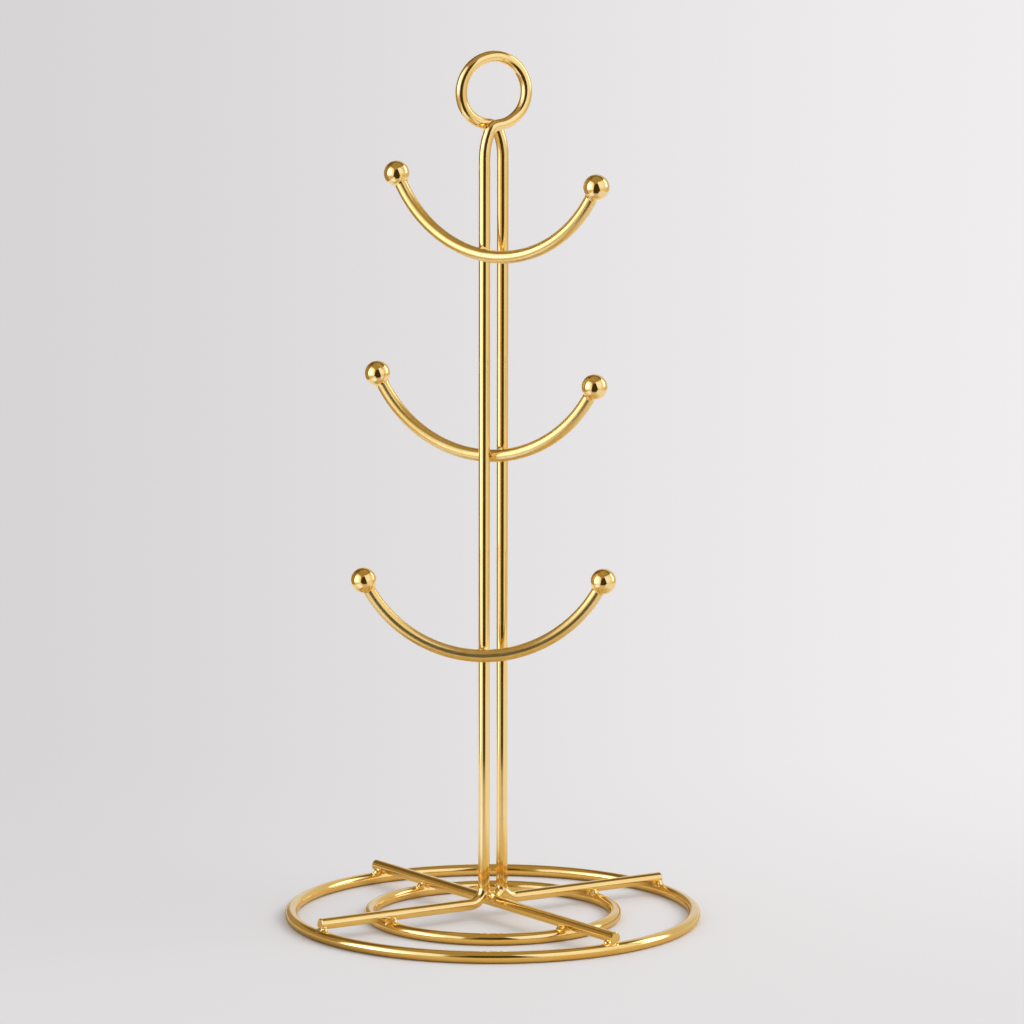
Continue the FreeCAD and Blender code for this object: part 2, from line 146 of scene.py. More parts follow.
class Nodes:
    """The node tree of a material or of the world."""

    def __init__(self, owner, output):
        owner.use_nodes = True
        self.tree = owner.node_tree
        self.tree.nodes.clear()
        self.end = self.tree.nodes.new(output)

    def add(self, kind, settings=None, inputs=None, output=0):
        """A node of any type: its settings, then the values or links of its sockets."""
        item = self.tree.nodes.new(kind)
        for name, setting in (settings or {}).items():
            setattr(item, name, setting)
        for key, value in (inputs or {}).items():
            if isinstance(value, Value):
                self.tree.links.new(value.socket, item.inputs[key])
            else:
                item.inputs[key].default_value = value
        return Value(self, item.outputs[output])

    def finish(self, shader):
        self.tree.links.new(shader.socket, self.end.inputs["Surface"])

    def ray(self, kind):
        """1 for rays of one kind, such as "Is Camera Ray"."""
        return self.add("ShaderNodeLightPath", output=kind)

    def mix(self, factor, first, second):
        """A colour between two colours.  A Mix node has them on sockets 6, 7 and out 2."""
        return self.add("ShaderNodeMix", {"data_type": "RGBA"},
                        {0: factor, 6: first, 7: second}, 2)

    def paint(self, ground, regions):
        """A ground colour with regions laid over it in turn, each a mask and a colour."""
        for mask, tone in regions:
            ground = self.mix(mask, ground, tone)
        return ground

    def vector(self, operation, first, second, output="Vector"):
        return self.add("ShaderNodeVectorMath", {"operation": operation},
                        {0: first, 1: second}, output)

    def join(self, x, y, z):
        return self.add("ShaderNodeCombineXYZ", {}, {0: x, 1: y, 2: z})

    def parts(self, vector):
        """The three numbers of a vector."""
        split = self.add("ShaderNodeSeparateXYZ", {}, {0: vector}).socket.node
        return [Value(self, socket) for socket in split.outputs]

    def noise(self, vector, scale, detail=2.0):
        return self.add("ShaderNodeTexNoise", {}, {
            "Vector": vector, "Scale": scale, "Detail": detail, "Roughness": 0.5})


def colour(red, green, blue):
    return (red, green, blue, 1.0)


def bearing_of(to_right, to_back):
    return to_right.angle_over(to_back * -1.0) * IN_DEGREES


CEILING = colour(0.36, 0.27, 0.115)
UPPER_BACK = colour(0.15, 0.10, 0.04)
LEFT_BACK = colour(0.36, 0.25, 0.11)
RIGHT_BACK = colour(0.64, 0.57, 0.45)
BACKDROP = colour(0.70, 0.69, 0.70)
SILL = colour(0.62, 0.52, 0.32)
WINDOW_EDGE = colour(0.98, 1.00, 1.12)
WINDOW = colour(2.7, 2.8, 3.0)
WARM_WALL = colour(0.77, 0.67, 0.43)
PALE_WINDOW = colour(0.97, 1.01, 1.20)
CURTAIN = colour(0.91, 0.88, 0.90)
CAMERA_STAND = colour(0.050, 0.034, 0.010)
SOFT_LIGHT = colour(0.76, 0.76, 0.77)
SOFT_LAMP = colour(3.6, 3.55, 3.4)

LEFT_CORNER = -92
RIGHT_CORNER = 92
BEYOND = 250    # past any bearing, for a region that reaches the middle of the back

studio = bpy.data.worlds.new("studio")
bpy.context.scene.world = studio
sky = Nodes(studio, "ShaderNodeOutputWorld")
to_right, to_back, upward = sky.parts(sky.add("ShaderNodeTexCoord", output="Generated"))
bearing = bearing_of(to_right, to_back)
height = upward.arcsine() * IN_DEGREES

above_back = bearing.size().band(105, BEYOND, 12) * height.band(46, 60, 4)
back_wall = height.fall(42, 46)
dim_corner = bearing.band(-160, -116, 12) * height.band(24, 52, 5)
behind_stand = bearing.rise(152, 164).larger(bearing.fall(-177, -165))

# The left window stands on a warm sill and slopes off beside the camera stand.
left_side = (bearing.band(LEFT_CORNER, -27, 3) * (height + bearing * 0.8).fall(9, 17)
             * height.fall(44, 50))
left_pane = (bearing.rise(-93, -87) * bearing.fall(-68, -38)
             * height.rise(-18, 2) * height.fall(18, 42))

# The right window has a curtain at its far end, and both turn to a warm wall below.
right_side = bearing.band(14, RIGHT_CORNER, 3) * height.fall(49, 56)
right_window = sky.mix(height.rise(-22, 14), WARM_WALL, PALE_WINDOW)
right_curtain = sky.mix(height.rise(-22, 26), WARM_WALL, CURTAIN)
leaning_lamp = (bearing - (height - 14) * 0.3).band(94, 114, 4) * height.band(2, 42, 5)
stand_side = (bearing - 1).size() + height * 0.3

room = sky.paint(CEILING, [
    (above_back, UPPER_BACK),
    (bearing.band(-BEYOND, LEFT_CORNER, 3) * back_wall, LEFT_BACK),
    (bearing.band(RIGHT_CORNER, BEYOND, 3) * back_wall, RIGHT_BACK),
    (dim_corner, UPPER_BACK),
    (behind_stand * height.fall(20, 34), BACKDROP),
    (left_side, SILL),
    (left_side * height.rise(-26, -8), WINDOW_EDGE),
    (left_pane, WINDOW),
    (right_side, sky.mix(bearing.rise(62, 68), right_window, right_curtain)),
    (leaning_lamp, WINDOW),
    (stand_side.fall(23.5, 27) * height.fall(36, 43), CAMERA_STAND)])

# Only polished metal mirrors the room.  All else is lit by the same room with its light
# spread out: a soft even dome, stronger on the right.
dome = sky.mix(bearing.band(45, 115, 15) * height.band(26, 58, 9), SOFT_LIGHT, SOFT_LAMP)
room = sky.mix(sky.ray("Is Glossy Ray"), dome, room)
room = sky.mix(sky.ray("Is Camera Ray"), room, BACKDROP)
sky.finish(sky.add("ShaderNodeBackground", {}, {"Color": room, "Strength": 1.0}))

# The pale table.  It ends half a metre in front of the stand and a little to its sides,
# but the camera sees it run on, with painted shade darker to the left and towards the
# front.  Polished wire alone sees painted light and shade on it: the painted shadow of the
# camera stand, a painted pool of light from the left window, painted warm shade just
# round the base, tinted by the gold, and a painted shadow left of the outer ring.
TABLE_REACH = 9.0
TABLE_SIDES = (-0.30, 0.60)
TABLE_EDGE = (-0.48, -0.46)
# The table as the camera sees it, with painted shade darker on the left and towards the front.
TABLE_LEFT = colour(0.641, 0.629, 0.643)
TABLE_RIGHT = colour(0.835, 0.820, 0.830)
TABLE_FRONT = colour(0.725, 0.710, 0.720)
TABLE_LIT = colour(0.81, 0.80, 0.88)
# Painted shade of the camera stand on the table, seen only in polished wire.
TABLE_SHADED = colour(0.52, 0.47, 0.42)
# Painted warm shade on the table round the base, tinted by light off the gold.
TABLE_WARM_SHADE = colour(0.63, 0.51, 0.29)
# Painted shadow on the table just left of the outer ring, seen only in polished wire.
TABLE_FLANK_SHADOW = colour(0.42, 0.33, 0.20)
# A painted pool of light from the left window, seen only in polished wire.
TABLE_WINDOW_LIGHT = colour(0.95, 1.05, 1.50)

table_mesh = bpy.data.meshes.new("table")
table_mesh.from_pydata([(-TABLE_REACH, -TABLE_REACH, 0), (TABLE_REACH, -TABLE_REACH, 0),
                        (TABLE_REACH, TABLE_REACH, 0), (-TABLE_REACH, TABLE_REACH, 0)],
                       [], [(0, 1, 2, 3)])
table = bpy.data.objects.new("table", table_mesh)
bpy.context.collection.objects.link(table)
table_top = bpy.data.materials.new("table")
top = Nodes(table_top, "ShaderNodeOutputMaterial")
table_x, table_y, _ = top.parts(top.add("ShaderNodeNewGeometry", output="Position"))
table_bearing = bearing_of(table_x, table_y)
from_centre = (table_x * table_x + table_y * table_y) ** 0.5

stand_shadow_wedge = table_bearing.band(-24, 26, 6)
# Where the painted shadow lies: a narrow band outside the outer ring, on its left.
left_flank_shadow = (from_centre.rise(0.074, 0.077) * from_centre.fall(0.085, 0.13)
              * table_x.fall(-0.065, -0.02))
mirrored = top.paint(TABLE_LIT, [
    # Painted shadow of the camera stand in front of the stand, and beyond it a painted dark
    # patch as dark as the stand itself.
    (stand_shadow_wedge * table_y.fall(-0.22, -0.05), TABLE_SHADED),
    (stand_shadow_wedge * table_y.fall(-0.31, -0.25), CAMERA_STAND),
    # Painted warm shade round the base, reaching further on the front and right.
    (from_centre.fall(0.080, 0.19) * 0.9, TABLE_WARM_SHADE),
    (table_bearing.band(-26, 58, 8) * from_centre.fall(0.11, 0.20), TABLE_WARM_SHADE),
    # Painted pool of light from the left window on the table to the left front.
    (table_bearing.band(-74, -34, 6) * from_centre.band(0.115, 0.30, 0.02), TABLE_WINDOW_LIGHT),
    (left_flank_shadow, TABLE_FLANK_SHADOW)])

# Painted shade: the table as the camera sees it grows darker to the left and towards the
# front.
across_view = table_x / (table_y - CAMERA_PLACE[1])
seen = top.mix(across_view.rise(-0.105, 0.105), TABLE_LEFT, TABLE_RIGHT)
seen = top.mix(table_y.fall(-0.20, 0.35) * 0.8, seen, TABLE_FRONT)

by_camera = top.ray("Is Camera Ray")
tone = top.mix(top.ray("Is Glossy Ray"), TABLE_LIT, mirrored)
tone = top.mix(by_camera, tone, seen)
on_table = table_x.band(*TABLE_SIDES, 0.01) * table_y.rise(*TABLE_EDGE)
matt = top.add("ShaderNodeBsdfDiffuse", {}, {"Color": tone})
clear = top.add("ShaderNodeBsdfTransparent")
top.finish(top.add("ShaderNodeMixShader", {}, {
    0: on_table.larger(by_camera), 1: clear, 2: matt}))
table_mesh.materials.append(table_top)


# ---------------------------------------------------------------- base rings

# Two hoops of round steel wire, rolled, butt welded and ground flush, then plated with
# gold.  They lie on the table, and the legs and the cross rod are welded on top.
RING_WIRE = 4.5
OUTER_RADIUS = 76.2
INNER_RADIUS = 46.3
LEG_AZIMUTH = 31.8
ROD_AZIMUTH = -54.6
WELD_GAP = 0.1

GOLD = colour(1.0, 0.745, 0.32)
DEEP_GOLD = colour(0.985, 0.705, 0.27)
WORN_GOLD = colour(0.96, 0.78, 0.44)
HEATED_GOLD = colour(0.93, 0.67, 0.24)
SPECK = colour(0.42, 0.25, 0.07)
HEAT_CORE = 1.375
HEAT_REACH = 5.5
WAVE_DEPTH = 0.00010
GRAIN_DEPTH = 0.0000035
HAZE_ROUGHNESS = 0.42


class Plate(Nodes):
    """Polished gold plate on metal, which starts from the place on the piece."""

    def __init__(self, name):
        self.material = bpy.data.materials.new(name)
        super().__init__(self.material, "ShaderNodeOutputMaterial")
        self.place = self.add("ShaderNodeTexCoord", output="Object")

    def drawn(self, path):
        """Lines left by the die that drew the wire.  The path is a vector of two places
        across the wire and one along it, in metres."""
        fine = self.noise(self.vector("MULTIPLY", path, (2600, 2600, 28)), 1.0)
        broad = self.noise(self.vector("MULTIPLY", path, (900, 900, 12)), 1.0)
        return fine * 0.55 + broad * 0.45

    def heat(self, welds):
        """1 at the welds, falling to 0 where their heat ended."""
        total = None
        for weld in welds:
            metres = self.vector("DISTANCE", self.place, Vector(weld) / 1000, "Value")
            mark = (metres * 1000).fall(HEAT_CORE, HEAT_REACH)
            total = mark if total is None else total.larger(mark)
        return total

    def lay(self, lines, heated, worn, polish=0.075, depth=1.0, gold=(GOLD, DEEP_GOLD),
            haze=0.0):
        """Lay the gold: its lines, where welding heated it and where it is worn.  Polish
        is its roughness at best, depth that of its lines, and haze the share that
        mirrors only softly."""
        clouds = self.noise(self.place, 38.0)
        smudges = self.noise(self.place, 240.0, 3.0)
        specks = self.noise(self.place, 1900.0, 1.0).rise(0.735, 0.79)
        tone = self.paint(self.mix(clouds.rise(0.38, 0.66), *gold), [
            (worn * 0.45, WORN_GOLD), (heated * 0.3, HEATED_GOLD), (specks * 0.6, SPECK)])
        rough = (polish + smudges.rise(0.46, 0.78) * 0.055 + (lines - 0.5) * 0.05
                 + heated * 0.07 + worn * 0.10 + specks * 0.25)
        wave = self.add("ShaderNodeBump", {}, {
            "Strength": 1.0, "Distance": WAVE_DEPTH, "Height": clouds})
        grain = self.add("ShaderNodeBump", {}, {
            "Strength": 1.0, "Distance": GRAIN_DEPTH * depth,
            "Height": lines + smudges * 0.3 - specks * 0.8, "Normal": wave})
        plate = self.metal(tone, rough, grain)
        if haze:
            plate = self.add("ShaderNodeMixShader", {}, {
                0: haze, 1: plate, 2: self.metal(tone, HAZE_ROUGHNESS, grain)})
        self.finish(plate)
        return self.material

    def metal(self, tone, rough, normal):
        return self.add("ShaderNodeBsdfPrincipled", {}, {
            "Base Color": tone, "Metallic": 1.0, "Roughness": rough, "Normal": normal})


def dress(node, material):
    """Give a piece of the frame its finish."""
    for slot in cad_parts[node].material_slots:
        slot.material = material


def direction(azimuth):
    """A level direction, from the right (0) towards the back (90)."""
    turn = math.radians(azimuth)
    return Vector((math.cos(turn), math.sin(turn), 0.0))


# The front wire of the uprights stands here, and the rear one opposite.
FRONT_FOOT = Vector((-3.3719, -3.9998, 0.0))
CROSSING_LEVEL = RING_WIRE + WELD_GAP / 2


def leg_crossing(side, radius):
    """Where the leg on that side, -1 front and +1 rear, lies on a ring."""
    foot = FRONT_FOOT * -side
    along = direction(LEG_AZIMUTH) * side
    inside = foot.dot(along)
    aside = foot - along * inside
    return aside + along * math.sqrt(radius ** 2 - aside.length_squared)


# The crossings of each ring in turn: front leg, one end of the rod, rear leg, other end.
RING_CROSSINGS = {
    radius: [point + Vector((0, 0, CROSSING_LEVEL))
             for side in (-1, 1)
             for point in (leg_crossing(side, radius), direction(ROD_AZIMUTH) * radius * side)]
    for radius in (OUTER_RADIUS, INNER_RADIUS)}


def crossings_from(first):
    """The crossings of both rings with the legs (0) or with the rod (1)."""
    return [point for crossings in RING_CROSSINGS.values() for point in crossings[first::2]]


for node, radius in (("outer_base_ring", OUTER_RADIUS), ("inner_base_ring", INNER_RADIUS)):
    ring = Plate(node + "_gold")
    x, y, z = ring.parts(ring.place)
    out = (x * x + y * y) ** 0.5
    lines = ring.drawn(ring.join(out, z, y.angle_over(x) * (radius / 1000)))
    scuffed = z.fall(0.0001, 0.0009)
    dress(node, ring.lay(lines, ring.heat(RING_CROSSINGS[radius]), scuffed))


# ---------------------------------------------------------------- cross rod

# A straight steel rod across both rings, sawn off at both ends.  It passes between the
# two uprights, is welded to the rings and the foot of the uprights, and is plated with
# them.
WIRE = 4.3
LEG_LEVEL = 6.75
ROD_HALF_LENGTH = 78.5
SAWN_FROM = 0.30      # how far before the end the mark of the saw begins
SAWN_FULL = 0.12      # and where it is fully there


def along_and_across(x, y, line):
    """How far a place is along a level line through the middle, and to its left."""
    return x * line.x + y * line.y, y * line.x - x * line.y


def sawn_end(along, end):
    """1 on the flat sawn end of a rod, at a distance along it."""
    return along.size().rise((end - SAWN_FROM) / 1000, (end - SAWN_FULL) / 1000)


rod = Plate("cross_rod_gold")
x, y, z = rod.parts(rod.place)
along, across = along_and_across(x, y, direction(ROD_AZIMUTH))
sawn = sawn_end(along, ROD_HALF_LENGTH)
saw_marks = rod.noise(rod.join(across * 300, z * 5200, along * 300), 1.0)
lines = rod.drawn(rod.join(across, z, along))
heated = rod.heat(crossings_from(1) + [(0.0, 0.0, LEG_LEVEL + WIRE / 2)])
dress("cross_rod", rod.lay(lines * (1 - sawn) + saw_marks * sawn, heated, sawn, depth=1.2))


# ---------------------------------------------------------------- frame wire

# One long steel wire: front leg, front upright, the loop at the top, rear upright and
# rear leg.  It is bent cold, crosses itself under the loop, and is welded there, at its
# foot and on the rings.
FRAME_AZIMUTH = 25.0
LEG_END = 76.2
FOOT_BEND = 6.0
LEG_TOP = (0.009, 0.010)
UPRIGHT_START = (0.0095, 0.0115)
LOOP_START = (0.2990, 0.3005)
CROSSING = (0.0, 0.0, 300.57)
LOOP_HEIGHT = 313.3
LOOP_RADIUS = 12.6
FOOT_WELD = (0.0, 0.0, LEG_LEVEL + 2.9)

# Height of the lowest point, azimuth, and place of the lowest point along each arm.
ARMS = {"top_arm": (252.8, -34.4, 7.6),
        "middle_arm": (176.5, -25.0, -3.4),
        "bottom_arm": (102.2, -1.2, -3.4)}
ARM_ROD = 4.8
ARM_BEND = 49.2


def quarter_turn(along):
    """The level direction to the left of another."""
    return Vector((-along.y, along.x, 0.0))


def arm_welds(name):
    """Where an arm touches the uprights.  The middle one has an upright on each side."""
    level, azimuth, shift = ARMS[name]
    along = direction(azimuth)
    places = []
    for end, step in ([(1, WIRE / 2), (-1, -WIRE / 2)] if name == "middle_arm"
                      else [(1, -WIRE / 2)]):
        foot = FRONT_FOOT * end
        out = foot.dot(along) - shift
        rise = ARM_BEND - math.sqrt(ARM_BEND ** 2 - out ** 2)
        places.append(foot + quarter_turn(along) * step + Vector((0, 0, level + rise)))
    return places


wire = Plate("frame_wire_gold")
x, y, z = wire.parts(wire.place)
along_leg, across_leg = along_and_across(x, y, direction(LEG_AZIMUTH))
leg_path = wire.join(across_leg, z, along_leg)
aside, before = along_and_across(x, y, direction(FRAME_AZIMUTH))
above = z - LOOP_HEIGHT / 1000
loop_path = wire.join((aside * aside + above * above) ** 0.5, before,
                      aside.angle_over(above) * (LOOP_RADIUS / 1000))
path = wire.mix(z.rise(*UPRIGHT_START), leg_path, wire.place)
path = wire.mix(z.rise(*LOOP_START), path, loop_path)
sawn = sawn_end(along_leg, LEG_END) * z.fall(*LEG_TOP)
heated = wire.heat(crossings_from(0) + [FOOT_WELD, CROSSING]
                   + [place for name in ARMS for place in arm_welds(name)])
dress("frame_wire", wire.lay(wire.drawn(path), heated, sawn))


# ---------------------------------------------------------------- arms

# Three steel rods bent to an arc that opens upwards.  The top and bottom ones are
# welded to the front of the front upright, the middle one between the two uprights.
# Their drawn lines are coarser, and chains have rubbed the valleys a little dull.
# The arms' gold is deeper and darker than the rest of the frame: painted shade for the duller
# look of their reflections.
ARM_SHADED_GOLD = (colour(0.88, 0.63, 0.235), colour(0.84, 0.58, 0.19))


def arm_place(name):
    """The lowest point of the arm's centreline."""
    level, azimuth, shift = ARMS[name]
    along = direction(azimuth)
    behind = quarter_turn(along)
    seat = 0.0
    if name != "middle_arm":
        seat = FRONT_FOOT.dot(behind) - (WIRE + ARM_ROD) / 2 - WELD_GAP
    return along * shift + behind * seat + Vector((0, 0, level))


for name, (_, azimuth, _) in ARMS.items():
    arm = Plate(name + "_gold")
    low = arm_place(name) / 1000
    x, y, z = arm.parts(arm.place)
    outward, behind = along_and_across(x - low.x, y - low.y, direction(azimuth))
    below = (low.z + ARM_BEND / 1000) - z
    path = arm.join((outward * outward + below * below) ** 0.5, behind,
                    outward.angle_over(below) * (ARM_BEND / 1000))
    rubbed = outward.size().fall(0.010, 0.034) * arm.noise(arm.place, 500.0).rise(0.40, 0.62)
    dress(name, arm.lay(arm.drawn(path), arm.heat(arm_welds(name)), rubbed * 0.6,
                        polish=0.11, depth=2.0, gold=ARM_SHADED_GOLD, haze=0.4))


# ---------------------------------------------------------------- ball ends

# Turned balls, drilled from below, pushed on the tips of the arms and soldered.  The
# lathe leaves very fine rings round the drilled axis, and the plate is the brightest
# of the stand.
BALL_RADIUS = 4.8
ARC_HALF_ANGLE = math.radians(61.0)
TIP_TO_BALL = 3.6


def ball_axis(name, side):
    """From the rod's tip into the ball.  The side is -1 on the left, +1 on the right."""
    return (direction(ARMS[name][1]) * (side * math.cos(ARC_HALF_ANGLE))
            + Vector((0, 0, math.sin(ARC_HALF_ANGLE))))


def ball_centre(name, side):
    tip = (direction(ARMS[name][1]) * (side * math.sin(ARC_HALF_ANGLE))
           + Vector((0, 0, 1 - math.cos(ARC_HALF_ANGLE)))) * ARM_BEND
    return arm_place(name) + tip + ball_axis(name, side) * TIP_TO_BALL


BALLS = {
    name.replace("arm", side_name + "_ball"): (ball_centre(name, side), ball_axis(name, side))
    for name in ARMS for side_name, side in (("left", -1), ("right", 1))}

for name, (centre, axis) in BALLS.items():
    ball = Plate(name + "_gold")
    from_middle = ball.vector("SUBTRACT", ball.place, centre / 1000)
    up_axis = ball.vector("DOT_PRODUCT", from_middle, axis, "Value")
    turned = ball.drawn(ball.join(up_axis, 0.0, 0.0))
    neck = (up_axis * 1000).fall(-4.1, -3.2)
    handled = ball.noise(ball.place, 300.0).rise(0.62, 0.80)
    dress(name, ball.lay(turned, neck, handled, polish=0.05, depth=0.5))


# ---------------------------------------------------------------- ring welds

# Small beads of weld metal where the legs and the cross rod lie on the rings.  They
# were melted into the corners from the front side, inside the rings, and the plate
# runs over them.  Each bead is the skin of its wires, blended where they meet.
RING_BEAD_REACH = 5.0
SOFTNESS = 1.5        # width over which wires melt together
RIPPLES = (2.6, 1.9, 1.4, 1.0, 0.7)
SINK = 0.05           # how far a skin lies under the bare wire
CELL = 0.22           # side of the grid on which a skin is found
NUDGE = 0.01          # step for the slope of a distance


def rod_shape(start, end, radius):
    """Distance from points to the surface of a straight rod with flat ends."""
    start, end = np.array(start), np.array(end)
    length = np.linalg.norm(end - start)
    along = (end - start) / length

    def distance(points):
        run = (points - start) @ along
        out = np.linalg.norm(points - start - run[..., None] * along, axis=-1)
        return np.maximum(out - radius, np.abs(run - length / 2) - length / 2)
    return distance


def bent_shape(centreline, radius):
    """The same for a wire bent along some points."""
    centreline = [np.array(point) for point in centreline]

    def distance(points):
        nearest = None
        for start, end in zip(centreline, centreline[1:]):
            step = end - start
            share = np.clip(((points - start) @ step) / (step @ step), 0, 1)
            out = np.linalg.norm(points - start - share[..., None] * step, axis=-1)
            nearest = out if nearest is None else np.minimum(nearest, out)
        return nearest - radius
    return distance


def hoop_shape(centre, along, normal, radius, thickness):
    """The same for a round hoop whose plane holds the direction along."""
    centre, along, normal = np.array(centre), np.array(along), np.array(normal)
    third = np.cross(normal, along)

    def distance(points):
        local = points - centre
        flat = np.hypot(local @ along, local @ third)
        return np.hypot(flat - radius, local @ normal) - thickness
    return distance


def ball_shape(centre, radius):
    centre = np.array(centre)
    return lambda points: np.linalg.norm(points - centre, axis=-1) - radius


def blend(first, second, softness):
    """Two shapes melted together over a width."""
    share = np.clip(0.5 + 0.5 * (second - first) / softness, 0, 1)
    return second + (first - second) * share - softness * share * (1 - share)


def ripple(points, seed):
    """The uneven surface of metal that froze as it ran, between -1 and 1."""
    draw = np.random.default_rng(seed)
    total = 0.0
    for length in RIPPLES:
        way = draw.normal(size=3)
        way *= 2 * math.pi / length / np.linalg.norm(way)
        total = total + np.sin(points @ way + draw.uniform(0, 6.28)) * length
    return total / len(RIPPLES)


def melted(centre, reach, wires, softness, drops, seed, unevenness=0.22):
    """A bead: its shape, centre and reach.  Wires and drops of metal are blended, with
    ripples near the centre, and the skin sinks into the wires towards the reach."""
    centre = np.array(centre)

    def distance(points):
        away = np.linalg.norm(points - centre, axis=-1)
        # The skin dips a little further into the wires in the outer half of the reach.
        sink = SINK + 0.05 * np.maximum(away - reach * 0.55, 0)
        total = None
        for shape in wires:
            skin = shape(points) + sink
            total = skin if total is None else blend(total, skin, softness)
        for place, radius in drops:
            total = blend(total, ball_shape(place, radius)(points), softness * 0.6)
        # The ripples are full up to a third of the reach and end at four fifths of it.
        close = np.clip(1.6 - away / (reach * 0.5), 0, 1)
        total = total + np.maximum(ripple(points, seed), -0.6) * unevenness * close
        return np.maximum(total, away - reach)
    return distance, centre, reach


def skin_of(distance, centre, reach):
    """Points and quads on the surface where a distance is nought, outsides out."""
    steps = int(math.ceil((reach + CELL) / CELL))
    ticks = np.arange(-steps, steps + 1) * CELL
    grid = np.stack(np.meshgrid(ticks, ticks, ticks, indexing="ij"), axis=-1) + centre
    field = distance(grid)
    cells = tuple(size - 1 for size in field.shape)

    def at(values, corner):
        """The values at one corner of every cell."""
        return values[tuple(slice(k, k + size) for k, size in zip(corner, cells))]

    # One point in each cell that the surface cuts, amid the cuts of its edges.
    total, count = np.zeros(cells + (3,)), np.zeros(cells)
    for corner in itertools.product((0, 1), repeat=3):
        for axis in range(3):
            if corner[axis]:
                continue
            other = tuple(k + (i == axis) for i, k in enumerate(corner))
            first, second = at(field, corner), at(field, other)
            cut = (first < 0) != (second < 0)
            share = np.where(cut, first / np.where(cut, first - second, 1), 0)[..., None]
            place = at(grid, corner) * (1 - share) + at(grid, other) * share
            total += np.where(cut[..., None], place, 0)
            count += cut
    used = count > 0
    number = np.full(cells, -1)
    number[used] = np.arange(used.sum())
    points = total[used] / count[used][:, None]

    # One quad across each edge of the grid that the surface cuts.
    quads = []
    for axis in range(3):
        step_u, step_v = np.eye(3, dtype=int)[[(axis + 1) % 3, (axis + 2) % 3]]
        low, high = [slice(None)] * 3, [slice(None)] * 3
        low[axis], high[axis] = slice(0, -1), slice(1, None)
        cut = (field[tuple(low)] < 0) != (field[tuple(high)] < 0)
        for place in np.argwhere(cut):
            ring = [place, place - step_u, place - step_u - step_v, place - step_v]
            quad = [int(number[tuple(cell)]) for cell in ring]
            quads.append(quad if field[tuple(place)] < 0 else quad[::-1])
    return drawn_onto(points, distance), np.array(quads)


def drawn_onto(points, distance):
    """The points pulled most of the way onto the surface, down its slope, three times."""
    for _ in range(3):
        slope = np.stack([(distance(points + step) - distance(points - step)) / (2 * NUDGE)
                          for step in np.eye(3) * NUDGE], -1)
        steep = np.maximum((slope ** 2).sum(-1), 0.2)
        points = points - slope * (distance(points) / steep)[:, None] * 0.7
    return points


def largest_part(points, quads):
    """The outer skin alone, without that of any small gap closed inside the metal."""
    group = np.arange(len(points))
    settled = False
    while not settled:
        lowest = group[quads].min(axis=1)
        joined = group.copy()
        for corner in quads.T:
            np.minimum.at(joined, corner, lowest)
        joined = joined[joined]
        settled = (joined == group).all()
        group = joined
    groups, sizes = np.unique(group[quads[:, 0]], return_counts=True)
    kept = group == groups[sizes.argmax()]
    new_number = np.cumsum(kept) - 1
    return points[kept], new_number[quads[kept[quads[:, 0]]]]


def weld_piece(name, node, beads):
    """One piece of several beads, in place of a node of the frame."""
    points, quads = [], []
    for bead in beads:
        new_points, new_quads = largest_part(*skin_of(*bead))
        quads += (new_quads + len(points)).tolist()
        points += [tuple(point / 1000) for point in new_points]
    mesh = bpy.data.meshes.new(name)
    mesh.from_pydata(points, [], quads)
    mesh.polygons.foreach_set("use_smooth", [True] * len(quads))
    mesh.materials.append(weld_gold)
    piece = bpy.data.objects.new(name, mesh)
    bpy.context.collection.objects.link(piece)
    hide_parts(node)
    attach(piece, "root")


bead = Plate("weld_bead_gold")
lumps = bead.noise(bead.place, 1500.0, 3.0)
hot = bead.noise(bead.place, 420.0).rise(0.15, 0.55)
handled = bead.noise(bead.place, 800.0).rise(0.60, 0.80)
weld_gold = bead.lay(lumps, hot, handled, polish=0.10, depth=2.4)

rod_end = direction(ROD_AZIMUTH) * ROD_HALF_LENGTH + Vector((0, 0, LEG_LEVEL))
cross_rod = rod_shape(rod_end, (-rod_end.x, -rod_end.y, LEG_LEVEL), WIRE / 2)
leg_end = leg_crossing(-1, OUTER_RADIUS) - direction(LEG_AZIMUTH) * 0.2
front_leg, rear_leg = (
    rod_shape((leg_end.x * way, leg_end.y * way, LEG_LEVEL),
              (FRONT_FOOT.x * way, FRONT_FOOT.y * way, LEG_LEVEL), WIRE / 2)
    for way in (1, -1))

beads = []
for radius, crossings in RING_CROSSINGS.items():
    hoop = hoop_shape((0, 0, RING_WIRE / 2), (1, 0, 0), (0, 0, 1), radius, RING_WIRE / 2)
    bars = (front_leg, cross_rod, rear_leg, cross_rod)
    for number, (crossing, bar) in enumerate(zip(crossings, bars)):
        azimuth = LEG_AZIMUTH if number % 2 == 0 else ROD_AZIMUTH
        inward = direction(azimuth) * (1 if number < 2 else -1)
        front = quarter_turn(inward)
        front *= -1 if front.y > 0 else 1
        large = (crossing + inward * 0.9 + front * 1.9 + Vector((0, 0, 0.1)), 0.95)
        small = (crossing + inward * 1.6 - front * 1.7, 0.6)
        beads.append(melted(crossing, RING_BEAD_REACH, [hoop, bar], SOFTNESS,
                            [large, small], number + int(radius)))
weld_piece("ring_weld_beads", "ring_welds", beads)


# ---------------------------------------------------------------- foot weld

# The largest weld: a web of melted metal between the two uprights, over the cross rod,
# hollow on top where it sagged as it froze.
FOOT_WEB_REACH = 8.0
WEB_SOFTNESS = 3.0
WEB_UNEVENNESS = 0.08
BRIDGE_RADIUS = 1.1


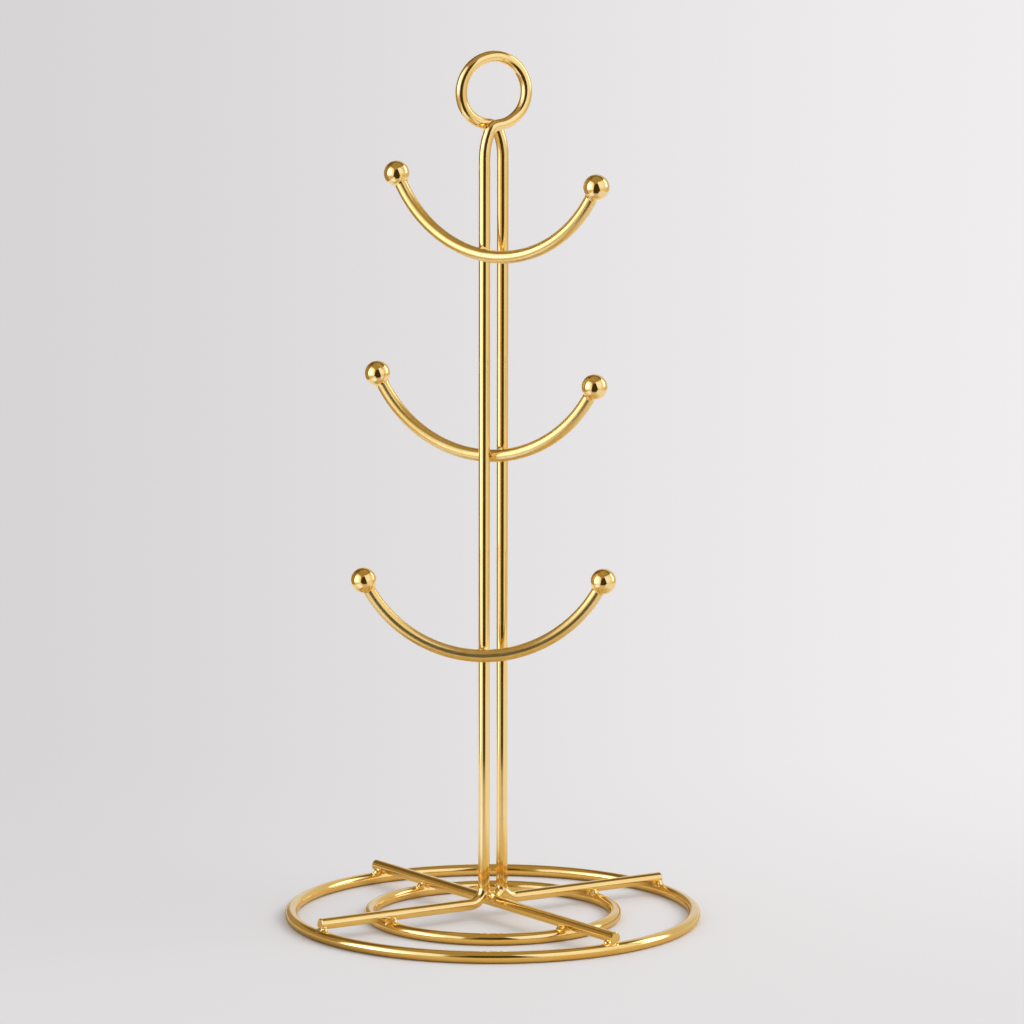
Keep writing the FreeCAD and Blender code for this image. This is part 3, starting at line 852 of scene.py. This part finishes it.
def foot_line(side):
    """Centreline of a leg, its bend and the start of its upright."""
    foot = FRONT_FOOT * -side + Vector((0, 0, LEG_LEVEL))
    outward = direction(LEG_AZIMUTH) * side
    points = [foot + outward * 30]
    for turn in map(math.radians, range(0, 91, 15)):
        points.append(foot + outward * FOOT_BEND * (1 - math.sin(turn))
                      + Vector((0, 0, FOOT_BEND * (1 - math.cos(turn)))))
    return points + [foot + Vector((0, 0, 40))]


uprights = [bent_shape(foot_line(side), WIRE / 2) for side in (-1, 1)]
bridge_end = FRONT_FOOT * 0.9 + Vector((0, 0, LEG_LEVEL + 2.1))
bridge = rod_shape(bridge_end, (-bridge_end.x, -bridge_end.y, bridge_end.z), BRIDGE_RADIUS)
drop = (FRONT_FOOT * 0.62 + Vector((0, 0, LEG_LEVEL + 3.8)), 1.1)
weld_piece("foot_weld_web", "foot_weld", [
    melted(FOOT_WELD, FOOT_WEB_REACH, uprights + [cross_rod, bridge], WEB_SOFTNESS, [drop],
           5, WEB_UNEVENNESS)])


# ---------------------------------------------------------------- arm welds

# Beads that hold the arms: one each behind the top and the bottom arm, and one on each
# side of the middle arm, where it passes between the uprights.
ARM_BEAD_REACH = 4.6

beads = []
for name, (_, azimuth, _) in ARMS.items():
    along = direction(azimuth)
    arc = hoop_shape(arm_place(name) + Vector((0, 0, ARM_BEND)), along, quarter_turn(along),
                     ARM_BEND, ARM_ROD / 2)
    for number, place in enumerate(arm_welds(name)):
        foot = FRONT_FOOT * (1 if number == 0 else -1)
        upright = rod_shape((foot.x, foot.y, place.z - 20), (foot.x, foot.y, place.z + 20),
                            WIRE / 2)
        drop = (place + Vector((0, 0, 1.9)), 0.8)
        beads.append(melted(place, ARM_BEAD_REACH, [upright, arc], SOFTNESS, [drop],
                            int(place.z) + number))
weld_piece("arm_weld_beads", "arm_welds", beads)


# ---------------------------------------------------------------- loop weld

# A tack where the wire crosses itself under the loop, ground back so that little more
# than a few uneven drops are left in the corners.
LOOP_TACK_REACH = 4.4
TACK_SOFTNESS = 0.9
NECK_SHIFT = (WIRE + WELD_GAP) / 2

# How far aside and how high one wire is as it goes from its upright into the loop.
NECK = [(-4.75, 285.0), (-4.75, 288.57), (-4.37, 292.9), (-3.4, 296.9), (-2.93, 297.93),
        (-2.2, 299.1), (-1.2, 300.03), (0.0, 300.57), (0.92, 300.73), (3.2, 301.1),
        (5.4, 301.9), (7.4, 303.1)]


def neck_line(way):
    """Centreline of the front wire (1) or of the rear one (-1)."""
    aside = direction(FRAME_AZIMUTH)
    shift = quarter_turn(aside) * -NECK_SHIFT
    return [(aside * across + shift) * way + Vector((0, 0, level)) for across, level in NECK]


necks = [bent_shape(neck_line(way), WIRE / 2) for way in (1, -1)]
drops = [((0.3, -1.6, CROSSING[2] - 2.2), 0.75), ((-1.4, 1.2, CROSSING[2] - 1.9), 0.8)]
weld_piece("loop_weld_tack", "loop_weld", [
    melted(CROSSING, LOOP_TACK_REACH, necks, TACK_SOFTNESS, drops, 11)])


# ---------------------------------------------------------------- ball solder

# A thin collar of solder at the neck of each ball.  It crept up the ball and down the
# rod, a little more on one side than on the other.
COLLAR_REACH = 4.0
COLLAR_SOFTNESS = 0.9
COLLAR_UNEVENNESS = 0.14
NECK_DEPTH = 4.25

beads = []
for number, (centre, axis) in enumerate(BALLS.values()):
    neck = centre - axis * NECK_DEPTH
    stub = rod_shape(centre - axis * 9.0, centre, ARM_ROD / 2)
    side_way = axis.cross(Vector((math.cos(number), math.sin(number), 0.3))).normalized()
    beads.append(melted(neck, COLLAR_REACH, [stub, ball_shape(centre, BALL_RADIUS)],
                        COLLAR_SOFTNESS, [(neck + side_way * 2.2, 0.55)], 40 + number,
                        COLLAR_UNEVENNESS))
weld_piece("ball_solder_collars", "ball_solder", beads)
